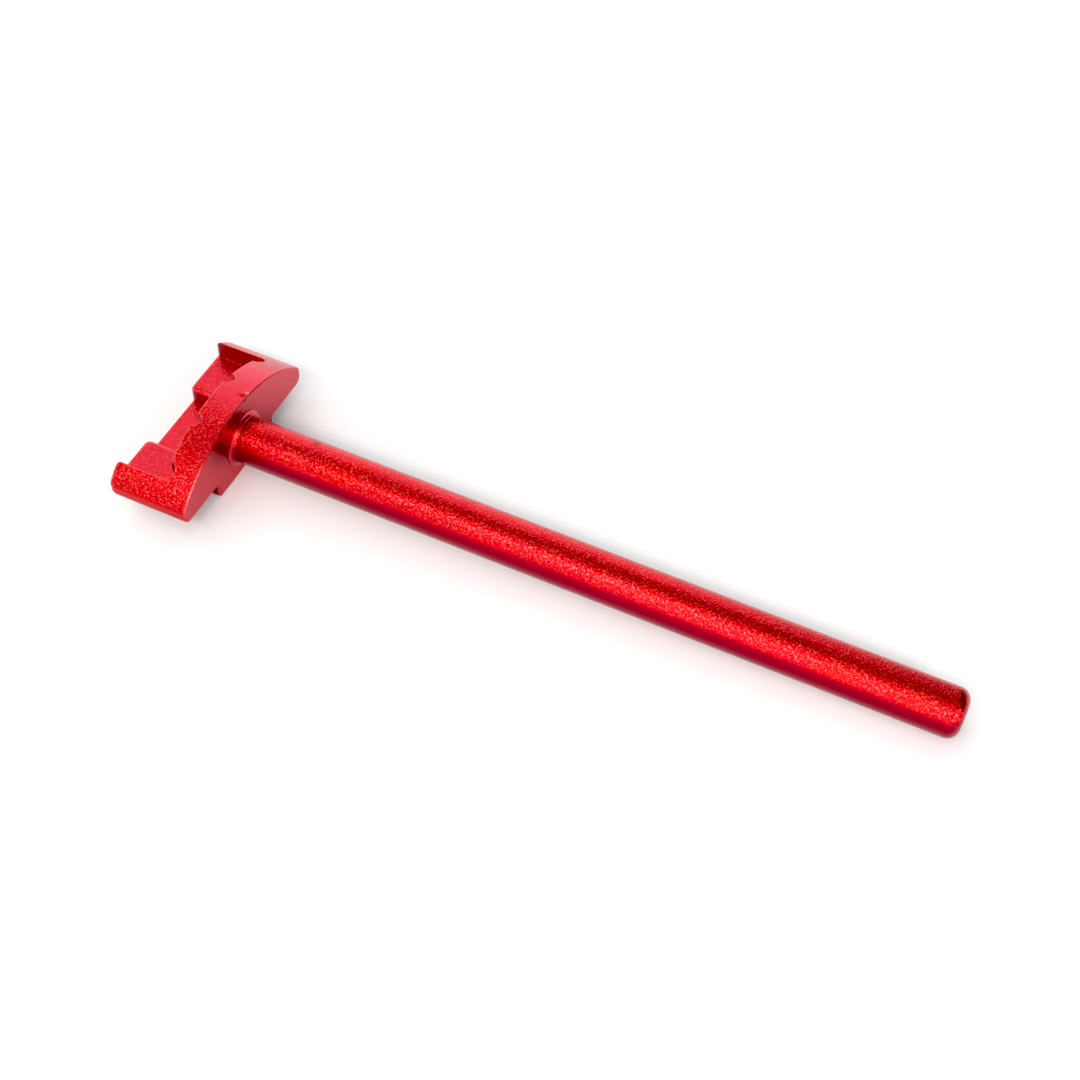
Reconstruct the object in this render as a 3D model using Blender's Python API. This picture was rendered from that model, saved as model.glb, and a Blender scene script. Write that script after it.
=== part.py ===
"""Compact aircraft tow bar: a D-section cross head on a solid round rod.

The head is one machined block. Its front is a stepped trough between two end lugs, with a deeper channel
down the middle and a round cutter relief in each corner against the back plate. The rod's end sits in a bore
in the back of the head, inside a collar with a hollow outside. A countersunk screw from the channel pulls it
in, and a grub screw under the keel bears on a flat on the rod, so that the head can't turn.

Frame: metres, +Z up. +X runs along the rod from the head to the tail, and Y across the head. The origin is
under the middle of the bar, on the plane of the keel's flat underside.
"""

from math import asin, cos, pi, radians, sin, sqrt, tan

import bmesh
import bpy

MM = 0.001
FIT_GAP = 0.3 * MM  # left between pieces that meet
CLOSE_GAP = 0.1 * MM  # left round the rod inside its thin collar

# Rod
ROD_RADIUS = 4.0 * MM
ROD_LENGTH = 121.6 * MM  # from the head's back face to the tail
TAIL_FILLET = 2.0 * MM
SEAT_LENGTH = 3.2 * MM  # the length of rod inside the head
SEAT_FLAT_DROP = 3.7 * MM  # from the rod's axis to the flat under the seat

# Head: its depth along the rod, and its D section measured from the rod's axis
HEAD_DEPTH = 14.4 * MM
HEAD_HALF_WIDTH = 18.0 * MM
CROWN_RADIUS = 25.0 * MM
CROWN_HEIGHT = 7.5 * MM
CROWN_EDGE = 1.8 * MM  # radius where the crown turns into a tip
BASE_DROP = 3.1 * MM
TIP_FILLET = 1.4 * MM
KEEL_DROP = 6.3 * MM
KEEL_HALF_WIDTH = 8.5 * MM
KEEL_CORNER = 0.8 * MM
KEEL_ROOT = 0.7 * MM

# Trough in the front of the head, with floors measured from the rod's axis
PLATE_THICKNESS = 5.3 * MM
LUG_INNER = 14.9 * MM
CHANNEL_HALF_WIDTH = 6.3 * MM
SIDE_FLOOR_DROP = 1.0 * MM
CHANNEL_FLOOR_DROP = 4.3 * MM
RELIEF_RADIUS = 1.2 * MM

# Collar round the rod's root
COLLAR_RADIUS = 4.9 * MM
COLLAR_LENGTH = 0.9 * MM
COLLAR_LIP = 0.15 * MM

# Countersunk M3 screw that pulls the rod into the head
SCREW_RADIUS = 1.5 * MM
SCREW_LENGTH = 12.0 * MM
SCREW_HEAD_RADIUS = 2.8 * MM
SCREW_TIP_CHAMFER = 0.3 * MM
SOCKET_FLATS = 2.0 * MM
SOCKET_DEPTH = 1.1 * MM
DRILL_POINT = radians(59)  # half the angle at the bottom of a drilled hole

# M2 grub screw under the keel
LOCK_RADIUS = 1.0 * MM
LOCK_RECESS = 0.2 * MM
LOCK_FROM_BACK = 1.9 * MM
LOCK_SOCKET_FLATS = 0.9 * MM
LOCK_SOCKET_DEPTH = 0.8 * MM
LOCK_TIP_CHAMFER = 0.2 * MM

# Places along the bar
FRONT_X = -(HEAD_DEPTH + ROD_LENGTH) / 2
BACK_X = FRONT_X + HEAD_DEPTH
TAIL_X = BACK_X + ROD_LENGTH
PLATE_X = BACK_X - PLATE_THICKNESS
SEAT_X = BACK_X - SEAT_LENGTH
LOCK_X = BACK_X - LOCK_FROM_BACK
AXIS_Z = KEEL_DROP
OVERCUT = 1.0 * MM  # how far a cutter runs past the surface that it opens

ROD_SIDES = 64
SCREW_SIDES = 32
SMOOTH_ANGLE = radians(30)

RED = (0.60, 0.005, 0.012, 1.0)
STEEL = (0.55, 0.55, 0.57, 1.0)


def clear_scene():
    for obj in list(bpy.data.objects):
        bpy.data.objects.remove(obj, do_unlink=True)


def make_material(name, colour, roughness):
    material = bpy.data.materials.new(name)
    material.use_nodes = True
    shader = material.node_tree.nodes["Principled BSDF"]
    shader.inputs["Base Color"].default_value = colour
    shader.inputs["Roughness"].default_value = roughness
    shader.inputs["Metallic"].default_value = 1.0
    return material


def mesh_object(name, bm):
    """Turn a finished bmesh into a linked object whose faces point out."""
    bmesh.ops.recalc_face_normals(bm, faces=bm.faces)
    mesh = bpy.data.meshes.new(name)
    bm.to_mesh(mesh)
    bm.free()
    obj = bpy.data.objects.new(name, mesh)
    bpy.context.scene.collection.objects.link(obj)
    return obj


def arc(centre, radius, start, end, steps):
    """Points on a circle from angle start to angle end, both included."""
    angles = [start + (end - start) * i / steps for i in range(steps + 1)]
    return [(centre[0] + radius * cos(a), centre[1] + radius * sin(a)) for a in angles]


def along_rod(along, side, up):
    return along, side, AXIS_Z + up


def upright_at_lock(along, side, up):
    return LOCK_X + side, up, along


def prism(name, outline, place, direction):
    """Extrude a closed outline. place() turns an outline's point into a point in space."""
    bm = bmesh.new()
    face = bm.faces.new([bm.verts.new(place(a, b)) for a, b in outline])
    walls = bmesh.ops.extrude_face_region(bm, geom=[face])
    moved = [item for item in walls["geom"] if isinstance(item, bmesh.types.BMVert)]
    bmesh.ops.translate(bm, verts=moved, vec=direction)
    return mesh_object(name, bm)


def make_rings(bm, profile, sides, place):
    """One ring of points round the axis for each (along, radius) point of a profile."""
    angles = [2 * pi * i / sides for i in range(sides)]
    return [[bm.verts.new(place(x, r * cos(a), r * sin(a))) for a in angles] for x, r in profile]


def bridge(bm, ring, after):
    for i in range(len(ring)):
        j = (i + 1) % len(ring)
        bm.faces.new((ring[i], after[i], after[j], ring[j]))


def turned(name, profile, sides, place):
    """Turn a profile of (along, radius) points whose first and last points lie on the axis."""
    bm = bmesh.new()
    rings = make_rings(bm, profile[1:-1], sides, place)
    for ring, after in zip(rings, rings[1:]):
        bridge(bm, ring, after)
    for end, ring in ((profile[0], rings[0]), (profile[-1], rings[-1])):
        tip = bm.verts.new(place(end[0], 0.0, 0.0))
        for i in range(sides):
            bm.faces.new((tip, ring[i], ring[(i + 1) % sides]))
    return mesh_object(name, bm)


def cut(obj, cutter):
    """Subtract a cutter from an object, and keep the cutter out of the model."""
    cutter.hide_render = True
    cutter.display_type = "WIRE"
    modifier = obj.modifiers.new("cut_" + cutter.name, "BOOLEAN")
    modifier.operation = "DIFFERENCE"
    modifier.solver = "EXACT"
    modifier.object = cutter


def finish(obj, material):
    obj.data.materials.append(material)
    obj.data.shade_smooth()
    obj.data.set_sharp_from_angle(angle=SMOOTH_ANGLE)


def head_section():
    """The head's outline seen along the rod: keel, flat base, rounded tips and crown arc."""
    crown_z = CROWN_HEIGHT - CROWN_RADIUS
    edge_y = HEAD_HALF_WIDTH - CROWN_EDGE
    edge_z = crown_z + sqrt((CROWN_RADIUS - CROWN_EDGE) ** 2 - edge_y**2)
    crown_end = asin(edge_y / (CROWN_RADIUS - CROWN_EDGE))
    keel_centre = (KEEL_HALF_WIDTH - KEEL_CORNER, KEEL_CORNER - KEEL_DROP)
    root_centre = (KEEL_HALF_WIDTH + KEEL_ROOT, -BASE_DROP - KEEL_ROOT)
    tip_centre = (HEAD_HALF_WIDTH - TIP_FILLET, TIP_FILLET - BASE_DROP)
    right = arc(keel_centre, KEEL_CORNER, -pi / 2, 0.0, 5)
    right += arc(root_centre, KEEL_ROOT, pi, pi / 2, 4)
    right += arc(tip_centre, TIP_FILLET, -pi / 2, 0.0, 6)
    right += arc((edge_y, edge_z), CROWN_EDGE, 0.0, pi / 2 - crown_end, 4)
    crown = arc((0.0, crown_z), CROWN_RADIUS, pi / 2 - crown_end, pi / 2 + crown_end, 36)
    left = [(-y, z) for y, z in reversed(right)]
    return right + crown[1:-1] + left


def pocket_cutter(name, half_width, floor_drop):
    """A pocket open at the front and the top, with a relief in each corner on the plate."""
    centre = (PLATE_X, half_width - RELIEF_RADIUS)
    half = [(FRONT_X - OVERCUT, half_width)] + arc(centre, RELIEF_RADIUS, pi / 2, -pi / 2, 12)
    outline = half + [(x, -y) for x, y in reversed(half)]
    height = CROWN_HEIGHT + floor_drop + OVERCUT
    return prism(name, outline, lambda x, y: along_rod(x, y, -floor_drop), (0.0, 0.0, height))


def rod_bore_cutter():
    """The bore for the rod's end, the screw's clearance hole and its countersink, turned in one."""
    bore_radius = ROD_RADIUS + FIT_GAP
    hole_radius = SCREW_RADIUS + FIT_GAP
    sink_radius = SCREW_HEAD_RADIUS + FIT_GAP
    bore_end = SEAT_X - FIT_GAP
    profile = [
        (BACK_X + OVERCUT, 0.0),
        (BACK_X + OVERCUT, bore_radius),
        (bore_end, bore_radius),
        (bore_end, hole_radius),
        (PLATE_X + sink_radius - hole_radius, hole_radius),
        (PLATE_X, sink_radius),
        (PLATE_X - OVERCUT, sink_radius),
        (PLATE_X - OVERCUT, 0.0),
    ]
    return turned("rod_bore_cutter", profile, ROD_SIDES, along_rod)


def lock_hole_cutter():
    """The grub screw's hole, from under the keel into the rod's bore."""
    radius = LOCK_RADIUS + FIT_GAP
    top = AXIS_Z - SEAT_FLAT_DROP
    profile = [(-OVERCUT, 0.0), (-OVERCUT, radius), (top, radius), (top, 0.0)]
    return turned("lock_hole_cutter", profile, SCREW_SIDES, upright_at_lock)


def make_head(material):
    head = prism("head", head_section(), lambda y, z: along_rod(FRONT_X, y, z), (HEAD_DEPTH, 0.0, 0.0))
    cut(head, pocket_cutter("trough_cutter", LUG_INNER, SIDE_FLOOR_DROP))
    cut(head, pocket_cutter("channel_cutter", CHANNEL_HALF_WIDTH, CHANNEL_FLOOR_DROP))
    cut(head, rod_bore_cutter())
    cut(head, lock_hole_cutter())
    finish(head, material)


def make_rod(material):
    """The rod with its rounded tail, its tapped hole and the flat that the grub screw bears on."""
    hole_radius = SCREW_RADIUS + FIT_GAP
    hole_end = PLATE_X + SCREW_LENGTH + FIT_GAP
    hole_tip = hole_end + hole_radius / tan(DRILL_POINT)
    tail_centre = (TAIL_X - TAIL_FILLET, ROD_RADIUS - TAIL_FILLET)
    profile = [
        (hole_tip, 0.0),
        (hole_end, hole_radius),
        (SEAT_X, hole_radius),
        (SEAT_X, ROD_RADIUS),
        *arc(tail_centre, TAIL_FILLET, pi / 2, 0.0, 8),
        (TAIL_X, 0.0),
    ]
    rod = turned("rod", profile, ROD_SIDES, along_rod)
    bottom = -ROD_RADIUS - OVERCUT
    flat_end = BACK_X - FIT_GAP
    flat = [
        (SEAT_X - OVERCUT, bottom),
        (flat_end, bottom),
        (flat_end, -SEAT_FLAT_DROP),
        (SEAT_X - OVERCUT, -SEAT_FLAT_DROP),
    ]
    width = 2 * ROD_RADIUS
    cutter = prism("seat_flat_cutter", flat, lambda x, z: along_rod(x, -width / 2, z), (0.0, width, 0.0))
    cut(rod, cutter)
    finish(rod, material)


def make_collar(material):
    """A ring whose hollow outside eases the rod into the head's back face."""
    inner = ROD_RADIUS + CLOSE_GAP
    start = BACK_X + FIT_GAP
    end = BACK_X + COLLAR_LENGTH
    centre = (end, COLLAR_RADIUS)
    hollow = (end - start - COLLAR_LIP, COLLAR_RADIUS - inner - COLLAR_LIP)
    quarter = arc((0, 0), 1, pi, 1.5 * pi, 8)
    curve = [(centre[0] + hollow[0] * a, centre[1] + hollow[1] * b) for a, b in quarter]
    profile = [(start, inner), (start, COLLAR_RADIUS), *curve, (end, inner)]
    bm = bmesh.new()
    rings = make_rings(bm, profile, ROD_SIDES, along_rod)
    for ring, after in zip(rings, rings[1:] + rings[:1]):
        bridge(bm, ring, after)
    finish(mesh_object("root_collar", bm), material)


def socket_cutter(name, flats, place, direction):
    outline = arc((0.0, 0.0), flats / sqrt(3), 0.0, 5 * pi / 3, 5)
    return prism(name, outline, place, direction)


def make_head_screw(material):
    cone_end = PLATE_X + SCREW_HEAD_RADIUS - SCREW_RADIUS
    screw_end = PLATE_X + SCREW_LENGTH
    profile = [
        (PLATE_X, 0.0),
        (PLATE_X, SCREW_HEAD_RADIUS),
        (cone_end, SCREW_RADIUS),
        (screw_end - SCREW_TIP_CHAMFER, SCREW_RADIUS),
        (screw_end, SCREW_RADIUS - SCREW_TIP_CHAMFER),
        (screw_end, 0.0),
    ]
    screw = turned("head_screw", profile, SCREW_SIDES, along_rod)
    mouth = PLATE_X - OVERCUT
    direction = (OVERCUT + SOCKET_DEPTH, 0.0, 0.0)
    place = lambda y, z: along_rod(mouth, y, z)
    cut(screw, socket_cutter("head_socket_cutter", SOCKET_FLATS, place, direction))
    finish(screw, material)


def make_lock_screw(material):
    top = AXIS_Z - SEAT_FLAT_DROP - FIT_GAP
    profile = [
        (LOCK_RECESS, 0.0),
        (LOCK_RECESS, LOCK_RADIUS),
        (top - LOCK_TIP_CHAMFER, LOCK_RADIUS),
        (top, LOCK_RADIUS - LOCK_TIP_CHAMFER),
        (top, 0.0),
    ]
    screw = turned("lock_screw", profile, SCREW_SIDES, upright_at_lock)
    mouth = LOCK_RECESS - OVERCUT
    direction = (0.0, 0.0, OVERCUT + LOCK_SOCKET_DEPTH)
    place = lambda x, y: upright_at_lock(mouth, x, y)
    cut(screw, socket_cutter("lock_socket_cutter", LOCK_SOCKET_FLATS, place, direction))
    finish(screw, material)


def main():
    clear_scene()
    make_head(make_material("head_red", RED, 0.42))
    make_rod(make_material("rod_red", RED, 0.40))
    make_collar(make_material("collar_red", RED, 0.38))
    make_head_screw(make_material("head_screw_steel", STEEL, 0.30))
    make_lock_screw(make_material("lock_screw_steel", STEEL, 0.35))


main()
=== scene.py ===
"""Visual model of the compact aircraft tow bar: bead-blasted, red anodised aluminium on a white studio floor.

The head, the rod and the collar are finer than their CAD nodes, with the edges rounded as on the machined
part. Both screws have a real thread. Sizes that the frame can give are read from it, and the rest are the
driving dimensions below. Metres, +Z up, +X along the rod from the head to the tail.
"""

from math import cos, hypot, pi, radians, sin, sqrt, tan

import bmesh
import bpy
import numpy as np
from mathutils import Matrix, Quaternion, Vector


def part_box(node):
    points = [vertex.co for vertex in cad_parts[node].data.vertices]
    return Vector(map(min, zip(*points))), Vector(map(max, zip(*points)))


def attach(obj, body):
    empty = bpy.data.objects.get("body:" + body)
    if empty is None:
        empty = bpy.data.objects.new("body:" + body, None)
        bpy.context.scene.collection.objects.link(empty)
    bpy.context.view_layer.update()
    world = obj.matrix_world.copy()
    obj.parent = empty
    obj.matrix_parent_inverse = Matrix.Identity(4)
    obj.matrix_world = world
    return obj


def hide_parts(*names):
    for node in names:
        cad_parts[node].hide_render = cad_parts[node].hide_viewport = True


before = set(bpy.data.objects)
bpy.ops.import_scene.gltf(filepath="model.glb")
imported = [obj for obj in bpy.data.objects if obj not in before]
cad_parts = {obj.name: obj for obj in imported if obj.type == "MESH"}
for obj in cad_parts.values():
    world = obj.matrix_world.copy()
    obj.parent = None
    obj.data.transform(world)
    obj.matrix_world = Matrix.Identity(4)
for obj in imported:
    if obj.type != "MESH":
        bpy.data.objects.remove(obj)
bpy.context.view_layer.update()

MM = 0.001

# Places read from the frame
HEAD_LOW, HEAD_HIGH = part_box("head")
ROD_LOW, ROD_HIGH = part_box("rod")
COLLAR_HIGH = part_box("root_collar")[1]
SCREW_LOW, SCREW_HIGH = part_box("head_screw")
LOCK_LOW, LOCK_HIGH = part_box("lock_screw")

FRONT_X = HEAD_LOW.x
BACK_X = HEAD_HIGH.x
PLATE_X = SCREW_LOW.x
SEAT_X = ROD_LOW.x
TAIL_X = ROD_HIGH.x
SCREW_END_X = SCREW_HIGH.x
COLLAR_END_X = COLLAR_HIGH.x
LOCK_X = (LOCK_LOW.x + LOCK_HIGH.x) / 2
AXIS_Z = (ROD_LOW.z + ROD_HIGH.z) / 2
HEAD_HALF_WIDTH = HEAD_HIGH.y
CROWN_HEIGHT = HEAD_HIGH.z - AXIS_Z
KEEL_DROP = AXIS_Z - HEAD_LOW.z
ROD_RADIUS = ROD_HIGH.y
COLLAR_RADIUS = COLLAR_HIGH.y
SCREW_HEAD_RADIUS = SCREW_HIGH.y
LOCK_RADIUS = LOCK_HIGH.y

# Head, with heights and drops measured from the rod's axis
CROWN_RADIUS = 25.0 * MM
CROWN_EDGE = 1.2 * MM  # radius where the crown turns into a tip
BASE_DROP = 3.1 * MM
TIP_FILLET = 1.5 * MM
KEEL_HALF_WIDTH = 8.5 * MM
KEEL_CORNER = 0.8 * MM
KEEL_ROOT = 0.7 * MM
LUG_INNER = 14.9 * MM
CHANNEL_HALF_WIDTH = 6.3 * MM
SIDE_FLOOR_DROP = 1.0 * MM
CHANNEL_FLOOR_DROP = 4.3 * MM
RELIEF_RADIUS = 1.2 * MM

# Radii of the head's rounded edges
OUTLINE_ROUND = 0.28 * MM
FRONT_ROUND = 1.4 * MM
TROUGH_ROUND = 0.14 * MM
WALL_FRONT_ROUND = 1.10 * MM  # where a wall of the trough ends at the front
WALL_FRONT_X = FRONT_X - 0.15 * MM
STEP_ROUND = 0.80 * MM
HOLE_ROUND = 0.10 * MM
RELIEF_ROUND = 0.15 * MM
POCKET_FILLET = 0.05 * MM

# The head's mesh
GRID_PITCH = 0.15 * MM
MARGIN_CELLS = 2  # empty cells round the box
CELL_REACH = 0.9  # of the pitch: how far a point may move from the middle of its cell
SETTLE_STEPS = 5
SLOPE_STEP = 0.01 * MM
LEAST_SLOPE_SQUARED = 0.2
KEPT_SHARE = 0.4  # of the faces
BEND_STEP = 0.12 * MM
WEAR_STARTS = 0.9 / MM  # curvature where the edge wear starts
WEAR_FULL = 2.6 / MM  # curvature where it is full

# Rod and collar
TAIL_FILLET = 2.0 * MM
SEAT_FLAT_DROP = 3.7 * MM  # from the rod's axis to the flat under the seat
SEAT_CHAMFER = 0.3 * MM
COLLAR_LIP = 0.12 * MM
COLLAR_FEATHER = 0.03 * MM
ROD_SIDES = 192
TAIL_STEPS = 24
HOLLOW_STEPS = 20

# Screws and their holes
SCREW_RADIUS = 1.5 * MM
SCREW_PITCH = 0.5 * MM
SCREW_TIP_CHAMFER = 0.3 * MM
SOCKET_FLATS = 2.0 * MM
SOCKET_DEPTH = 1.1 * MM
LOCK_PITCH = 0.4 * MM
LOCK_TIP_CHAMFER = 0.2 * MM
LOCK_SOCKET_FLATS = 0.9 * MM
LOCK_SOCKET_DEPTH = 0.8 * MM
THREAD_DEPTH = 0.61  # of the pitch
THREAD_FLANK = 1.3  # how steeply a groove's sides fall
THREAD_CREST = 0.15  # how much of that fall the flat crest holds back
RINGS_PER_TURN = 10
SCREW_SIDES = 48
HOLE_SIDES = 64
DRILL_POINT = radians(59)  # half the angle at the bottom of a drilled hole
DRILL_TIP_RADIUS = 0.05 * MM

# Gaps
RUNNING_GAP = 0.02 * MM  # round the screw in the rod, and between the collar and its neighbours
CLOSE_GAP = 0.05 * MM  # between the head and what sits in it
SCREW_HOLE_GAP = 0.30 * MM  # round the screw where it passes through the plate
END_ROOM = 0.3 * MM  # past the screw's tip, and from the rod's flat to the head's back face
OVERCUT = 1.0 * MM  # how far a cutter runs past the surface that it opens

SHARP_ANGLE = radians(25)

# Red finish: colours
RED = (0.58, 0.008, 0.009, 1.0)
RED_DEEP = (0.49, 0.006, 0.014, 1.0)
RED_SPARK = (0.80, 0.095, 0.080, 1.0)
RED_SHADED = (0.30, 0.002, 0.024, 1.0)
RED_SHEEN = (0.58, 0.033, 0.056, 1.0)
RED_WORN_AND_HIGHLIT = (0.85, 0.16, 0.17, 1.0)

# Red finish: grain
GRAIN_SCALE = 1 / (0.34 * MM)
FINE_SCALE = 1 / (0.16 * MM)
CLOUD_SCALE = 1 / (6.0 * MM)
GRAIN_HEIGHT = 0.052 * MM
SPARKLE_HEIGHT = 0.115 * MM
PIT_SHARE = 0.9
GRAIN_SHARE = 0.8
FINE_SHARE = 0.25
WORN_SMOOTH = 0.7  # how much of the grain a worn edge has lost
ROOT_SMOOTH = 0.75  # how much of the grain the patch beside the collar has lost
COAT = 0.14
COAT_ROUGHNESS = 0.18
COAT_IOR = 1.5

# Red finish: ramps, each with the values where it starts and ends, and then what they become
WEAR_AND_HIGHLIGHT_BY_CLOUD = (0.30, 0.60, 0.05, 0.4)
TONE_BY_NOISE = (0.35, 0.65, 0.0, 1.0)
TONE_CLOUD_SHARE = 0.6
TONE_GRAIN_SHARE = 0.4
SPARK_BY_GRAIN = (0.50, 0.68, 0.0, 0.65)
CALM_BY_SIDE = (0.75, 0.95, 1.0, 0.15)  # faces that look sideways have less grain and less painted sparkle
SHADE_BY_HEIGHT = (0.64, 0.18, 0.0, 1.0)  # painted shade: faces that look down are darker and bluer
SHADE_BY_WIDTH = (17.5 * MM, 15.0 * MM, 0.0, 1.0)  # but the head's tips only underneath
SHADE_BENEATH = (-0.65, -0.9, 0.0, 1.0)
# Painted sheen: a paler red on faces that look up and back, and on faces that look along the rod
SHEEN_FACES = (0.0, 0.5, 0.866)
SHEEN_BY_ANGLE = (cos(radians(42.0)), cos(radians(15.0)), 0.0, 1.0)
SHEEN_BY_END = (0.7, 0.97, 0.0, 1.0)
ROOT_BY_END = (0.85, 0.98, 0.0, 1.0)
ROUGHNESS_BY_NOISE = (0.3, 0.7, 0.19, 0.34)

# Red finish: marks, each with its centre, its reach along the axes and its colour
ROOT_SHADE = ((-53.6 * MM, -5.4 * MM, 9.8 * MM), (0.6 * MM, 4.6 * MM, 4.6 * MM), (0.36, 0.002, 0.026, 1.0))
BRUISE = ((-54.4 * MM, 2.3 * MM, 13.7 * MM), (0.9 * MM, 0.5 * MM, 0.5 * MM), (0.36, 0.0, 0.004, 1.0))
SMUDGE = ((-40.6 * MM, 1.5 * MM, 10.0 * MM), (0.9 * MM, 0.5 * MM, 0.5 * MM), (0.22, 0.018, 0.012, 1.0))
SCRATCH = ((-54.05 * MM, 3.25 * MM, 13.6 * MM), (0.75 * MM, 0.16 * MM, 0.5 * MM), (0.9, 0.25, 0.26, 1.0))
SPOT_RAGGED = 1.6
SPOT_FADE = (1.9, 1.1, 0.0, 1.0)

# Steel finish
STEEL_DARK = (0.40, 0.39, 0.38, 1.0)
STEEL_LIGHT = (0.62, 0.61, 0.60, 1.0)
STEEL_RECESS_SHADE = (0.05, 0.045, 0.04, 1.0)
RING_SCALE = 1 / (0.5 * MM)
RING_STRETCH = (6.0, 1.0, 1.0)
RING_HEIGHT = 0.01 * MM
RING_STRENGTH = 0.6
STEEL_CLOUD_SCALE = 1 / (1.5 * MM)
STEEL_ROUGHNESS = (0.3, 0.7, 0.20, 0.38)
# Painted shade in a screw's socket: where it starts and where it is full past the mouth, and how strong it is
RECESS_SHADE_STARTS = 0.1 * MM
RECESS_SHADE_FULL = 0.6 * MM
RECESS_SHADE_WEIGHT = 0.85

# Camera
CAMERA_TARGET = Vector((-1.45 * MM, 2.26 * MM, AXIS_Z))
CAMERA_DISTANCE = 262.4 * MM
CAMERA_AZIMUTH = radians(21.94)
CAMERA_ELEVATION = radians(51.31)
CAMERA_ROLL = radians(3.62)
CAMERA_LENS = 55.89
SENSOR_WIDTH = 36.0
CLIP_START = 0.01
CLIP_END = 20.0

# Floor
FLOOR_RADIUS = 0.62
FLOOR_SIDES = 128
PAPER_DARK = (0.88, 0.88, 0.88, 1.0)
PAPER_LIGHT = (0.92, 0.92, 0.92, 1.0)
PAPER_SCALE = 400.0
PAPER_ROUGHNESS = 0.9
PAPER_SPECULAR = 0.2

# Light. Each softbox has its azimuth and elevation in degrees, its size, its strength and its colour.
LIGHT_DISTANCE = 0.8
WHITE = (1.0, 1.0, 1.0)
SOFTBOXES = {
    "strip": (-6.0, 47.0, (0.50, 0.13), 9.8, (1.0, 0.99, 0.90)),
    "low_key": (1.0, 24.0, (0.20, 0.16), 6.0, WHITE),
    "top": (8.0, 70.0, (0.28, 0.32), 1.4, WHITE),
    "board": (212.0, 40.0, (0.85, 0.55), 1.0, WHITE),
    "left_top": (290.0, 50.0, (1.10, 0.50), 0.78, WHITE),
    "edge": (58.0, 30.0, (0.30, 0.30), 9.0, WHITE),
}
SKY_STOPS = ((0.22, 1.8), (0.45, 0.50))  # height, as the sine of the elevation, and brightness
FLAG_DIRECTION = (0.707, 0.707, 0.0)  # the side of the sky that a flag darkens
FLAG_FADE = {"From Min": 0.55, "From Max": 0.85, "To Min": 1.0, "To Max": 0.12}
BLACK_LEVEL = (0.02, 0.02, 0.02)  # deepens the shadows and the reds


# ---------------------------------------------------------------- meshes


def link(name, data):
    obj = bpy.data.objects.new(name, data)
    bpy.context.scene.collection.objects.link(obj)
    return obj


def mesh_object(name, bm):
    """Turn a finished bmesh into a linked object whose faces point out."""
    bmesh.ops.recalc_face_normals(bm, faces=bm.faces)
    mesh = bpy.data.meshes.new(name)
    bm.to_mesh(mesh)
    bm.free()
    return link(name, mesh)


def arc(centre, radius, start, end, steps):
    """Points on a circle from angle start to angle end, both included."""
    angles = [start + (end - start) * i / steps for i in range(steps + 1)]
    return [(centre[0] + radius * cos(a), centre[1] + radius * sin(a)) for a in angles]


def along_rod(along, side, up):
    return along, side, AXIS_Z + up


def upright_at_lock(along, side, up):
    return LOCK_X + side, up, along


def prism(name, outline, place, extent):
    """Extrude a closed outline. place() turns an outline's point into a point in space."""
    bm = bmesh.new()
    face = bm.faces.new([bm.verts.new(place(a, b)) for a, b in outline])
    walls = bmesh.ops.extrude_face_region(bm, geom=[face])
    moved = [item for item in walls["geom"] if isinstance(item, bmesh.types.BMVert)]
    bmesh.ops.translate(bm, verts=moved, vec=extent)
    return mesh_object(name, bm)


def make_rings(bm, profile, sides, place):
    """One ring of points round the axis for each (along, radius) point of a profile."""
    angles = [2 * pi * i / sides for i in range(sides)]
    return [[bm.verts.new(place(x, r * cos(a), r * sin(a))) for a in angles] for x, r in profile]


def bridge(bm, ring, after):
    for i in range(len(ring)):
        j = (i + 1) % len(ring)
        bm.faces.new((ring[i], after[i], after[j], ring[j]))


def turned(name, profile, sides, place):
    """Turn a profile of (along, radius) points, with a flat face over its first and its last ring."""
    bm = bmesh.new()
    rings = make_rings(bm, profile, sides, place)
    for ring, after in zip(rings, rings[1:]):
        bridge(bm, ring, after)
    for ring in (rings[0], rings[-1]):
        bm.faces.new(ring)
    return mesh_object(name, bm)


def apply_modifiers(obj):
    depsgraph = bpy.context.evaluated_depsgraph_get()
    mesh = bpy.data.meshes.new_from_object(obj.evaluated_get(depsgraph))
    obj.modifiers.clear()
    obj.data = mesh


def cut(obj, cutter):
    """Subtract a cutter from an object for good, and delete the cutter."""
    modifier = obj.modifiers.new("cut", "BOOLEAN")
    modifier.operation = "DIFFERENCE"
    modifier.solver = "EXACT"
    modifier.object = cutter
    apply_modifiers(obj)
    bpy.data.objects.remove(cutter, do_unlink=True)


def shade(obj):
    obj.data.shade_smooth()
    obj.data.set_sharp_from_angle(angle=SHARP_ANGLE)


def give_wear_and_highlight(obj, wear):
    """Store how worn each point is, 0 to 1, for the material. On the collar the value is a painted highlight.
    """
    attribute = obj.data.attributes.new("wear_and_highlight", "FLOAT", "POINT")
    attribute.data.foreach_set("value", wear.astype(np.float32))


def dress(obj, material, node):
    """Give a finished piece its material, and let it stand for its CAD node."""
    obj.data.materials.clear()
    obj.data.materials.append(material)
    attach(obj, "root")
    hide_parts(node)


# ---------------------------------------------------------------- meshes from a distance function


def slope(distance, points):
    """Gradient of a distance function at an array of points."""
    columns = []
    for axis in range(3):
        shift = np.zeros(3)
        shift[axis] = SLOPE_STEP
        columns.append(distance(*(points + shift).T) - distance(*(points - shift).T))
    return np.stack(columns, axis=1) / (2 * SLOPE_STEP)


def settle(points, distance, reach):
    """Move points along the slope onto the surface, each no further than reach along an axis."""
    start = points.copy()
    for _ in range(SETTLE_STEPS):
        gradient = slope(distance, points)
        size = np.maximum((gradient**2).sum(axis=1), LEAST_SLOPE_SQUARED)
        points = points - gradient * (distance(*points.T) / size)[:, None]
        points = np.clip(points, start - reach, start + reach)
    return points


def grid_axis(low, high):
    return np.arange(low - MARGIN_CELLS * GRID_PITCH, high + (MARGIN_CELLS + 1) * GRID_PITCH, GRID_PITCH)


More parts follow.
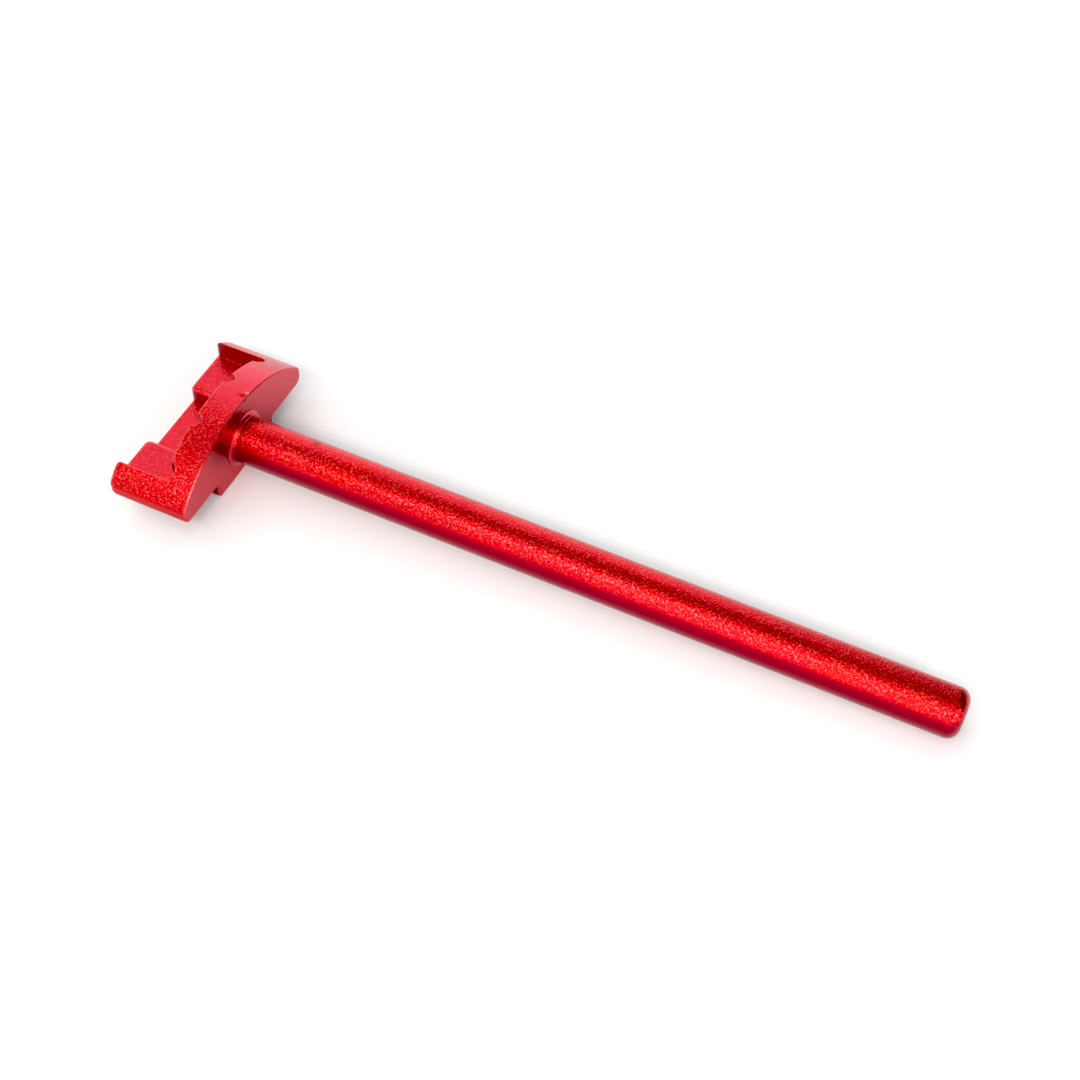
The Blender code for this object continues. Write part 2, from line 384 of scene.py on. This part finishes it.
def surface_mesh(name, distance, low, high):
    """Mesh of the surface where distance(x, y, z) is zero. Each grid cell that it crosses gets one point."""
    axes = [grid_axis(a, b) for a, b in zip(low, high)]
    inside = distance(*np.meshgrid(*axes, indexing="ij", sparse=True)) < 0.0
    corners = np.zeros(tuple(n - 1 for n in inside.shape), np.int8)
    for corner in np.ndindex(2, 2, 2):
        corners += inside[tuple(slice(c, c + n) for c, n in zip(corner, corners.shape))]
    cells = np.argwhere((corners > 0) & (corners < 8))
    number = np.full(corners.shape, -1)
    number[tuple(cells.T)] = np.arange(len(cells))
    first = np.array([axis[0] for axis in axes])
    points = settle(first + (cells + 0.5) * GRID_PITCH, distance, CELL_REACH * GRID_PITCH)
    faces = []
    for axis in range(3):
        lower = np.take(inside, range(inside.shape[axis] - 1), axis)
        upper = np.take(inside, range(1, inside.shape[axis]), axis)
        ends = np.argwhere(lower != upper)
        turn = [np.zeros(3, int) for _ in range(4)]
        for corner, (a, b) in zip(turn, ((0, 0), (-1, 0), (-1, -1), (0, -1))):
            corner[(axis + 1) % 3] = a
            corner[(axis + 2) % 3] = b
        quads = np.stack([number[tuple((ends + corner).T)] for corner in turn], axis=1)
        outward = lower[tuple(ends.T)]
        faces.append(np.where(outward[:, None], quads, quads[:, ::-1]))
    mesh = bpy.data.meshes.new(name)
    mesh.from_pydata(points.tolist(), [], np.concatenate(faces).tolist())
    obj = link(name, mesh)
    modifier = obj.modifiers.new("thin_out", "DECIMATE")
    modifier.ratio = KEPT_SHARE
    apply_modifiers(obj)
    return obj


def smooth_from(obj, distance):
    """Give every point the true normal of the surface, and wear it where the surface bends sharply out."""
    points = np.array([vertex.co for vertex in obj.data.vertices])
    normals = slope(distance, points)
    normals /= np.linalg.norm(normals, axis=1)[:, None]
    obj.data.shade_smooth()
    obj.data.normals_split_custom_set_from_vertices(normals.tolist())
    bend = -6 * distance(*points.T)
    for shift in np.concatenate([np.eye(3), -np.eye(3)]) * BEND_STEP:
        bend = bend + distance(*(points + shift).T)
    give_wear_and_highlight(obj, np.clip((bend / BEND_STEP**2 - WEAR_STARTS) / (WEAR_FULL - WEAR_STARTS), 0.0, 1.0))


def common(a, b, radius):
    """Distance to what two solids share, with the edge between them rounded."""
    corner = np.hypot(np.maximum(radius + a, 0.0), np.maximum(radius + b, 0.0))
    return np.minimum(-radius, np.maximum(a, b)) + corner


def together(a, b, radius):
    """Distance to two solids joined, with a fillet of that radius between them."""
    return -common(-a, -b, radius)


# ---------------------------------------------------------------- head


def section(across, up):
    """Distance to the head's D section: crown arc, rounded tips, flat base and keel."""
    crown_z = CROWN_HEIGHT - CROWN_RADIUS
    edge_y = HEAD_HALF_WIDTH - CROWN_EDGE
    edge_z = crown_z + sqrt((CROWN_RADIUS - CROWN_EDGE) ** 2 - edge_y**2)
    crown = np.hypot(across, up - crown_z) - CROWN_RADIUS
    side = across - HEAD_HALF_WIDTH
    turn = np.hypot(across - edge_y, up - edge_z) - CROWN_EDGE
    past_crown = (across - edge_y) * (edge_z - crown_z) > (up - edge_z) * edge_y
    crown = np.where(past_crown & (up > edge_z), turn, np.maximum(crown, side))
    block = common(crown, -BASE_DROP - up, TIP_FILLET)
    keel = common(across - KEEL_HALF_WIDTH, -KEEL_DROP - up, KEEL_CORNER)
    return np.maximum(together(block, keel, KEEL_ROOT), crown)


def stepped_floor(x, across, up):
    """The side floors and, between them, the channel."""
    step_wall = common(CHANNEL_HALF_WIDTH - across, WALL_FRONT_X - x, WALL_FRONT_ROUND)
    channel = together(step_wall, up + CHANNEL_FLOOR_DROP, POCKET_FILLET)
    return common(up + SIDE_FLOOR_DROP, channel, STEP_ROUND)


def plate_and_lugs(x, across):
    """The walls round the trough seen from above, with a round relief at each corner on the plate."""
    lug_wall = common(LUG_INNER - across, WALL_FRONT_X - x, WALL_FRONT_ROUND)
    walls = np.minimum(PLATE_X - x, lug_wall)
    for wall in (LUG_INNER, CHANNEL_HALF_WIDTH):
        relief = RELIEF_RADIUS - np.hypot(x - PLATE_X, across - wall + RELIEF_RADIUS)
        walls = common(walls, relief, RELIEF_ROUND)
    return walls


def bores(x, y, up):
    """The rod's bore, the screw's clearance hole and countersink, and the grub screw's hole."""
    from_axis = np.hypot(y, up)
    sink_radius = SCREW_HEAD_RADIUS + CLOSE_GAP
    seat = np.maximum(from_axis - ROD_RADIUS - CLOSE_GAP, SEAT_X - CLOSE_GAP - x)
    hole = from_axis - SCREW_RADIUS - SCREW_HOLE_GAP
    sink = np.maximum((from_axis - sink_radius + x - PLATE_X) / sqrt(2), from_axis - sink_radius)
    lock = np.maximum(np.hypot(x - LOCK_X, y) - LOCK_RADIUS - CLOSE_GAP, up)
    return np.minimum(np.minimum(seat, hole), np.minimum(sink, lock))


def head_distance(x, y, z):
    across = np.abs(y)
    up = z - AXIS_Z
    ends = np.abs(x - (FRONT_X + BACK_X) / 2) - (BACK_X - FRONT_X) / 2
    block = common(section(across, up), ends, np.where(x > PLATE_X, OUTLINE_ROUND, FRONT_ROUND))
    pocket = together(plate_and_lugs(x, across), stepped_floor(x, across, up), POCKET_FILLET)
    return common(common(block, pocket, TROUGH_ROUND), -bores(x, y, up), HOLE_ROUND)


def make_head(material):
    head = surface_mesh("head_block", head_distance, HEAD_LOW, HEAD_HIGH)
    smooth_from(head, head_distance)
    dress(head, material, "head")


# ---------------------------------------------------------------- rod and collar


def make_rod(material):
    """The rod with its rounded tail, its tapped hole and the flat that the grub screw bears on."""
    hole_radius = SCREW_RADIUS + RUNNING_GAP
    hole_end = SCREW_END_X + END_ROOM
    tail_centre = (TAIL_X - TAIL_FILLET, ROD_RADIUS - TAIL_FILLET)
    body = [
        (SEAT_X, ROD_RADIUS - SEAT_CHAMFER),
        (SEAT_X + SEAT_CHAMFER, ROD_RADIUS),
        *arc(tail_centre, TAIL_FILLET, pi / 2, 0.0, TAIL_STEPS),
    ]
    rod = turned("rod_bar", body, ROD_SIDES, along_rod)
    hole = [
        (SEAT_X - OVERCUT, hole_radius),
        (hole_end, hole_radius),
        (hole_end + hole_radius / tan(DRILL_POINT), DRILL_TIP_RADIUS),
    ]
    cut(rod, turned("tapped_hole_cutter", hole, HOLE_SIDES, along_rod))
    bottom = -ROD_RADIUS - OVERCUT
    flat_end = BACK_X - END_ROOM
    flat = [
        (SEAT_X - OVERCUT, bottom),
        (flat_end, bottom),
        (flat_end, -SEAT_FLAT_DROP),
        (SEAT_X - OVERCUT, -SEAT_FLAT_DROP),
    ]
    width = 2 * ROD_RADIUS
    cut(rod, prism("flat_cutter", flat, lambda x, z: along_rod(x, -width / 2, z), (0.0, width, 0.0)))
    shade(rod)
    dress(rod, material, "rod")


def make_collar(material):
    """A ring whose hollow outside eases the rod into the head's back face. Its colour is paler towards its
    foot, a painted highlight on the hollow.
    """
    inner = ROD_RADIUS + RUNNING_GAP
    foot = COLLAR_RADIUS
    start = BACK_X + RUNNING_GAP
    end = COLLAR_END_X
    depth = end - BACK_X - COLLAR_LIP
    height = foot - inner - COLLAR_FEATHER
    quarter = arc((0.0, 0.0), 1.0, pi, 1.5 * pi, HOLLOW_STEPS)
    hollow = [(end + depth * a, foot + height * b) for a, b in quarter]
    bm = bmesh.new()
    rings = make_rings(bm, [(start, inner), (start, foot), *hollow, (end, inner)], ROD_SIDES, along_rod)
    for ring, after in zip(rings, rings[1:] + rings[:1]):
        bridge(bm, ring, after)
    collar = mesh_object("collar_ring", bm)
    shade(collar)
    # Painted highlight: the collar's colour is paler the further a point rises towards its foot.
    rise = [hypot(vertex.co.y, vertex.co.z - AXIS_Z) - inner for vertex in collar.data.vertices]
    give_wear_and_highlight(collar, np.array(rise) / (foot - inner))
    dress(collar, material, "root_collar")


# ---------------------------------------------------------------- screws


def threaded(name, outline, thread_start, pitch, place):
    """A screw with a helical thread. outline has (along, radius) points from the screw's head to its tip."""
    along, radii = np.array(outline).T
    end = along[-1]
    rings = round((end - thread_start) / pitch * RINGS_PER_TURN)
    levels = np.union1d(along, np.linspace(thread_start, end, rings + 1))
    turns = np.arange(SCREW_SIDES) / SCREW_SIDES
    bm = bmesh.new()
    rows = []
    for level in levels:
        crest = np.interp(level, along, radii)
        phase = (level / pitch - turns) % 1.0
        fall = THREAD_FLANK * (1 - np.abs(2 * phase - 1)) - THREAD_CREST
        groove = crest - THREAD_DEPTH * pitch * np.clip(fall, 0.0, 1.0)
        ring_radii = groove if level >= thread_start else np.full(SCREW_SIDES, crest)
        ring = [(r * cos(2 * pi * turn), r * sin(2 * pi * turn)) for r, turn in zip(ring_radii, turns)]
        rows.append([bm.verts.new(place(level, side, up)) for side, up in ring])
    for row, after in zip(rows, rows[1:]):
        bridge(bm, row, after)
    for row in (rows[0], rows[-1]):
        bm.faces.new(row)
    return mesh_object(name, bm)


def cut_socket(screw, flats, place, extent):
    """Cut a hexagon socket. place() turns a point of the hexagon into a point in space."""
    hexagon = arc((0.0, 0.0), flats / sqrt(3), 0.0, 5 * pi / 3, 5)
    cut(screw, prism("socket_cutter", hexagon, place, extent))


def make_head_screw(material):
    cone_end = PLATE_X + SCREW_HEAD_RADIUS - SCREW_RADIUS
    outline = [
        (PLATE_X, SCREW_HEAD_RADIUS - HOLE_ROUND),
        (PLATE_X + HOLE_ROUND, SCREW_HEAD_RADIUS - HOLE_ROUND / 4),
        (cone_end, SCREW_RADIUS),
        (SCREW_END_X - SCREW_TIP_CHAMFER, SCREW_RADIUS),
        (SCREW_END_X, SCREW_RADIUS - SCREW_TIP_CHAMFER),
    ]
    screw = threaded("screw_countersunk", outline, cone_end + SCREW_PITCH, SCREW_PITCH, along_rod)
    mouth = PLATE_X - OVERCUT
    extent = (OVERCUT + SOCKET_DEPTH, 0.0, 0.0)
    cut_socket(screw, SOCKET_FLATS, lambda y, z: along_rod(mouth, y, z), extent)
    shade(screw)
    dress(screw, material, "head_screw")


def make_lock_screw(material):
    outline = [
        (LOCK_LOW.z, LOCK_RADIUS - HOLE_ROUND),
        (LOCK_LOW.z + HOLE_ROUND, LOCK_RADIUS),
        (LOCK_HIGH.z - LOCK_TIP_CHAMFER, LOCK_RADIUS),
        (LOCK_HIGH.z, LOCK_RADIUS - LOCK_TIP_CHAMFER),
    ]
    screw = threaded("screw_grub", outline, LOCK_LOW.z + HOLE_ROUND, LOCK_PITCH, upright_at_lock)
    mouth = LOCK_LOW.z - OVERCUT
    extent = (0.0, 0.0, OVERCUT + LOCK_SOCKET_DEPTH)
    cut_socket(screw, LOCK_SOCKET_FLATS, lambda x, y: upright_at_lock(mouth, x, y), extent)
    shade(screw)
    dress(screw, material, "lock_screw")


# ---------------------------------------------------------------- materials


class Nodes:
    """Adds shader nodes to a material and joins them up."""

    def __init__(self, name):
        self.material = bpy.data.materials.new(name)
        self.material.use_nodes = True
        self.tree = self.material.node_tree
        self.shader = self.tree.nodes["Principled BSDF"]

    def add(self, kind, inputs=(), **settings):
        node = self.tree.nodes.new("ShaderNode" + kind)
        for key, value in settings.items():
            setattr(node, key, value)
        for key, value in dict(inputs).items():
            self.put(node, key, value)
        return node

    def put(self, node, key, value):
        if isinstance(value, bpy.types.NodeSocket):
            self.tree.links.new(value, node.inputs[key])
        else:
            node.inputs[key].default_value = value

    def finish(self, **inputs):
        """Fill the shader's own inputs, named with _ for a space, and return the material."""
        for key, value in inputs.items():
            self.put(self.shader, key.replace("_", " "), value)
        return self.material

    def math(self, operation, first, second=0.0):
        return self.add("Math", {0: first, 1: second}, operation=operation).outputs[0]

    def blend(self, first, first_share, second, second_share):
        """Weighted sum of two values."""
        first = self.math("MULTIPLY", first, first_share)
        return self.math("ADD", first, self.math("MULTIPLY", second, second_share))

    def noise(self, coordinates, scale, detail, roughness):
        inputs = {"Vector": coordinates, "Scale": scale, "Detail": detail, "Roughness": roughness}
        return self.add("TexNoise", inputs).outputs["Fac"]

    def remap(self, value, low, high, to_low, to_high, smooth=True):
        inputs = {"Value": value, "From Min": low, "From Max": high, "To Min": to_low, "To Max": to_high}
        kind = "SMOOTHSTEP" if smooth else "LINEAR"
        return self.add("MapRange", inputs, interpolation_type=kind).outputs["Result"]

    def mix(self, factor, first, second):
        """Mix two colours. A Mix node keeps them in inputs 6 and 7, and what they make in output 2."""
        node = self.add("Mix", {"Factor": factor, 6: first, 7: second}, data_type="RGBA")
        return node.outputs[2]

    def spot(self, place, centre, reach, ragged):
        """A mask that is 1 at a place on the object and fades out at reach, with a ragged edge."""
        offset = self.add("VectorMath", {0: place, 1: centre}, operation="SUBTRACT").outputs[0]
        scaled = self.add("VectorMath", {0: offset, 1: reach}, operation="DIVIDE").outputs[0]
        distance = self.add("VectorMath", {0: scaled}, operation="LENGTH").outputs["Value"]
        distance = self.math("ADD", distance, self.math("MULTIPLY", ragged, SPOT_RAGGED))
        return self.remap(distance, *SPOT_FADE)


def red_anodised(name, grain=1.0, sheen_weight=1.0):
    """Anodised aluminium after bead blasting: red metal under a thin clear layer that sparkles.

    grain scales the bumps, and sheen_weight the painted sheen: a paler colour on faces that look up and back
    or along the rod.
    """
    n = Nodes(name)
    place = n.add("TexCoord").outputs["Object"]
    normal = n.add("NewGeometry").outputs["Normal"]
    edge = n.add("Attribute", attribute_name="wear_and_highlight").outputs["Fac"]
    grain_noise = n.noise(place, GRAIN_SCALE, detail=1.0, roughness=0.5)
    fine_noise = n.noise(place, FINE_SCALE, detail=1.0, roughness=0.5)
    cloud = n.noise(place, CLOUD_SCALE, detail=3.0, roughness=0.6)
    pits = n.add("TexVoronoi", {"Vector": place, "Scale": GRAIN_SCALE}, feature="SMOOTH_F1")
    facing_x, facing_y, facing_z = n.add("SeparateXYZ", {0: normal}).outputs
    calm = n.remap(n.math("ABSOLUTE", facing_y), *CALM_BY_SIDE)

    tone = n.remap(n.blend(cloud, TONE_CLOUD_SHARE, grain_noise, TONE_GRAIN_SHARE), *TONE_BY_NOISE)
    colour = n.mix(tone, RED_DEEP, RED)
    # Painted sparkle: paler specks in the colour stand in for glints from the grain.
    spark = n.math("MULTIPLY", n.remap(grain_noise, *SPARK_BY_GRAIN), calm)
    colour = n.mix(spark, colour, RED_SPARK)

    # Painted shade: faces that look down are darker and bluer, and the head's tips only underneath.
    across = n.math("ABSOLUTE", n.add("SeparateXYZ", {0: place}).outputs["Y"])
    reach = n.math("MAXIMUM", n.remap(across, *SHADE_BY_WIDTH), n.remap(facing_z, *SHADE_BENEATH))
    shaded = n.math("MULTIPLY", n.remap(facing_z, *SHADE_BY_HEIGHT), reach)
    colour = n.mix(shaded, colour, RED_SHADED)

    # Painted sheen: a paler red on faces that look up and back, and on faces that look along the rod.
    facing_sheen = n.add("VectorMath", {0: normal, 1: SHEEN_FACES}, operation="DOT_PRODUCT").outputs["Value"]
    end_sheen = n.remap(n.math("ABSOLUTE", facing_x), *SHEEN_BY_END)
    sheen = n.math("MAXIMUM", n.remap(facing_sheen, *SHEEN_BY_ANGLE), end_sheen)
    colour = n.mix(n.math("MULTIPLY", sheen, sheen_weight), colour, RED_SHEEN)

    centre, size, tint = ROOT_SHADE
    root_spot = n.math("MULTIPLY", n.spot(place, centre, size, fine_noise), n.remap(facing_x, *ROOT_BY_END))
    colour = n.mix(root_spot, colour, tint)
    for centre, size, tint in (BRUISE, SMUDGE):
        colour = n.mix(n.spot(place, centre, size, fine_noise), colour, tint)
    # Edge wear on the head, and a painted highlight on the collar, both in the same paler red.
    wear = n.math("MULTIPLY", edge, n.remap(cloud, *WEAR_AND_HIGHLIGHT_BY_CLOUD))
    colour = n.mix(wear, colour, RED_WORN_AND_HIGHLIT)
    centre, size, tint = SCRATCH
    colour = n.mix(n.spot(place, centre, size, fine_noise), colour, tint)

    height = n.blend(pits.outputs["Distance"], PIT_SHARE, grain_noise, GRAIN_SHARE)
    height = n.math("ADD", height, n.math("MULTIPLY", fine_noise, FINE_SHARE))
    kept = n.math("MULTIPLY", n.math("SUBTRACT", 1.0, n.math("MULTIPLY", edge, WORN_SMOOTH)), calm)
    kept = n.math("MULTIPLY", kept, n.math("SUBTRACT", 1.0, n.math("MULTIPLY", root_spot, ROOT_SMOOTH)))
    normals = []
    for full_height in (GRAIN_HEIGHT, SPARKLE_HEIGHT):
        lift = n.math("MULTIPLY", kept, full_height * grain)
        bump = n.add("Bump", {"Height": height, "Distance": lift, "Strength": 1.0})
        normals.append(bump.outputs["Normal"])
    return n.finish(
        Base_Color=colour,
        Metallic=1.0,
        Roughness=n.remap(fine_noise, *ROUGHNESS_BY_NOISE, smooth=False),
        Normal=normals[0],
        Coat_Weight=COAT,
        Coat_Roughness=COAT_ROUGHNESS,
        Coat_IOR=COAT_IOR,
        Coat_Normal=normals[1],
    )


def steel(name, axis, mouth):
    """Turned stainless steel with fine rings, with painted shade that darkens it past the mouth of its socket
    along an axis.
    """
    n = Nodes(name)
    place = n.add("TexCoord").outputs["Object"]
    turning = n.add("Mapping", {"Vector": place, "Scale": RING_STRETCH}).outputs[0]
    rings = n.noise(turning, RING_SCALE, detail=3.0, roughness=0.6)
    cloud = n.noise(place, STEEL_CLOUD_SCALE, detail=3.0, roughness=0.6)
    along = n.add("SeparateXYZ", {0: place}).outputs[axis]
    # Painted shade: darker past the mouth of the socket, in the recess and inside the head.
    recess_shade = n.remap(along, mouth + RECESS_SHADE_STARTS, mouth + RECESS_SHADE_FULL, 0.0, RECESS_SHADE_WEIGHT)
    bump = n.add("Bump", {"Height": rings, "Distance": RING_HEIGHT, "Strength": RING_STRENGTH})
    return n.finish(
        Base_Color=n.mix(recess_shade, n.mix(cloud, STEEL_DARK, STEEL_LIGHT), STEEL_RECESS_SHADE),
        Metallic=1.0,
        Roughness=n.remap(rings, *STEEL_ROUGHNESS, smooth=False),
        Normal=bump.outputs["Normal"],
    )


def floor_paper():
    n = Nodes("floor_paper")
    place = n.add("TexCoord").outputs["Object"]
    fibres = n.noise(place, PAPER_SCALE, detail=6.0, roughness=0.65)
    return n.finish(
        Base_Color=n.mix(fibres, PAPER_DARK, PAPER_LIGHT),
        Roughness=PAPER_ROUGHNESS,
        Specular_IOR_Level=PAPER_SPECULAR,
    )


# ---------------------------------------------------------------- studio


def direction(azimuth, elevation):
    """Unit vector to a place round the object. Azimuth 0 is in front, on the -Y side, and 90 is at +X."""
    return Vector((sin(azimuth) * cos(elevation), -cos(azimuth) * cos(elevation), sin(elevation)))


def make_camera():
    back = direction(CAMERA_AZIMUTH, CAMERA_ELEVATION)
    data = bpy.data.cameras.new("camera")
    data.lens = CAMERA_LENS
    data.sensor_width = SENSOR_WIDTH
    data.clip_start = CLIP_START
    data.clip_end = CLIP_END
    camera = link("camera", data)
    roll = Quaternion((0.0, 0.0, 1.0), CAMERA_ROLL)
    camera.rotation_mode = "QUATERNION"
    camera.rotation_quaternion = (-back).to_track_quat("-Z", "Y") @ roll
    camera.location = CAMERA_TARGET + back * CAMERA_DISTANCE
    bpy.context.scene.camera = camera


def make_floor():
    """The bar rests on the back edge of its keel and on its tail, so the floor passes through both."""
    keel_z = HEAD_LOW.z
    tail_low_x = TAIL_X - TAIL_FILLET
    tail_low_z = AXIS_Z - ROD_RADIUS
    tilt = (tail_low_z - keel_z) / (tail_low_x - BACK_X)
    last_angle = 2 * pi * (FLOOR_SIDES - 1) / FLOOR_SIDES
    rim = arc((0.0, 0.0), FLOOR_RADIUS, 0.0, last_angle, FLOOR_SIDES - 1)
    bm = bmesh.new()
    bm.faces.new([bm.verts.new((x, y, keel_z + tilt * (x - BACK_X))) for x, y in rim])
    floor = mesh_object("floor", bm)
    floor.data.materials.append(floor_paper())


def softbox(name, azimuth, elevation, size, strength, colour):
    """A rectangular light that faces the object. strength is about its brightness beside a white floor's."""
    data = bpy.data.lights.new(name, "AREA")
    data.shape = "RECTANGLE"
    data.size, data.size_y = size
    data.energy = strength * pi * size[0] * size[1]
    data.color = colour
    light = link(name, data)
    back = direction(radians(azimuth), radians(elevation))
    light.location = back * LIGHT_DISTANCE
    light.rotation_mode = "QUATERNION"
    light.rotation_quaternion = (-back).to_track_quat("-Z", "Y")


def make_world():
    """A pale sky, brighter near the horizon, with one side darkened by a flag."""
    world = bpy.data.worlds.new("studio")
    world.use_nodes = True
    tree = world.node_tree
    background = tree.nodes["Background"]
    where = tree.nodes.new("ShaderNodeTexCoord")
    split = tree.nodes.new("ShaderNodeSeparateXYZ")
    ramp = tree.nodes.new("ShaderNodeValToRGB")
    for stop, (height, brightness) in zip(ramp.color_ramp.elements, SKY_STOPS):
        stop.position = height
        stop.color = (brightness, brightness, brightness, 1.0)
    flag = tree.nodes.new("ShaderNodeVectorMath")
    flag.operation = "DOT_PRODUCT"
    flag.inputs[1].default_value = FLAG_DIRECTION
    fade = tree.nodes.new("ShaderNodeMapRange")
    fade.interpolation_type = "SMOOTHSTEP"
    for key, value in FLAG_FADE.items():
        fade.inputs[key].default_value = value
    tree.links.new(where.outputs["Generated"], split.inputs[0])
    tree.links.new(split.outputs["Z"], ramp.inputs[0])
    tree.links.new(ramp.outputs["Color"], background.inputs["Color"])
    tree.links.new(where.outputs["Generated"], flag.inputs[0])
    tree.links.new(flag.outputs["Value"], fade.inputs["Value"])
    tree.links.new(fade.outputs["Result"], background.inputs["Strength"])
    bpy.context.scene.world = world


def make_studio():
    make_camera()
    make_floor()
    make_world()
    for name, settings in SOFTBOXES.items():
        softbox(name, *settings)
    view = bpy.context.scene.view_settings
    view.view_transform = "Standard"
    view.use_curve_mapping = True
    view.curve_mapping.black_level = BLACK_LEVEL
    view.curve_mapping.update()


make_studio()
make_head(red_anodised("red_anodised_head"))
make_rod(red_anodised("red_anodised_rod", sheen_weight=0.3))
make_collar(red_anodised("red_anodised_collar", grain=0.3))
make_head_screw(steel("head_screw_steel", "X", PLATE_X))
make_lock_screw(steel("lock_screw_steel", "Z", LOCK_LOW.z))
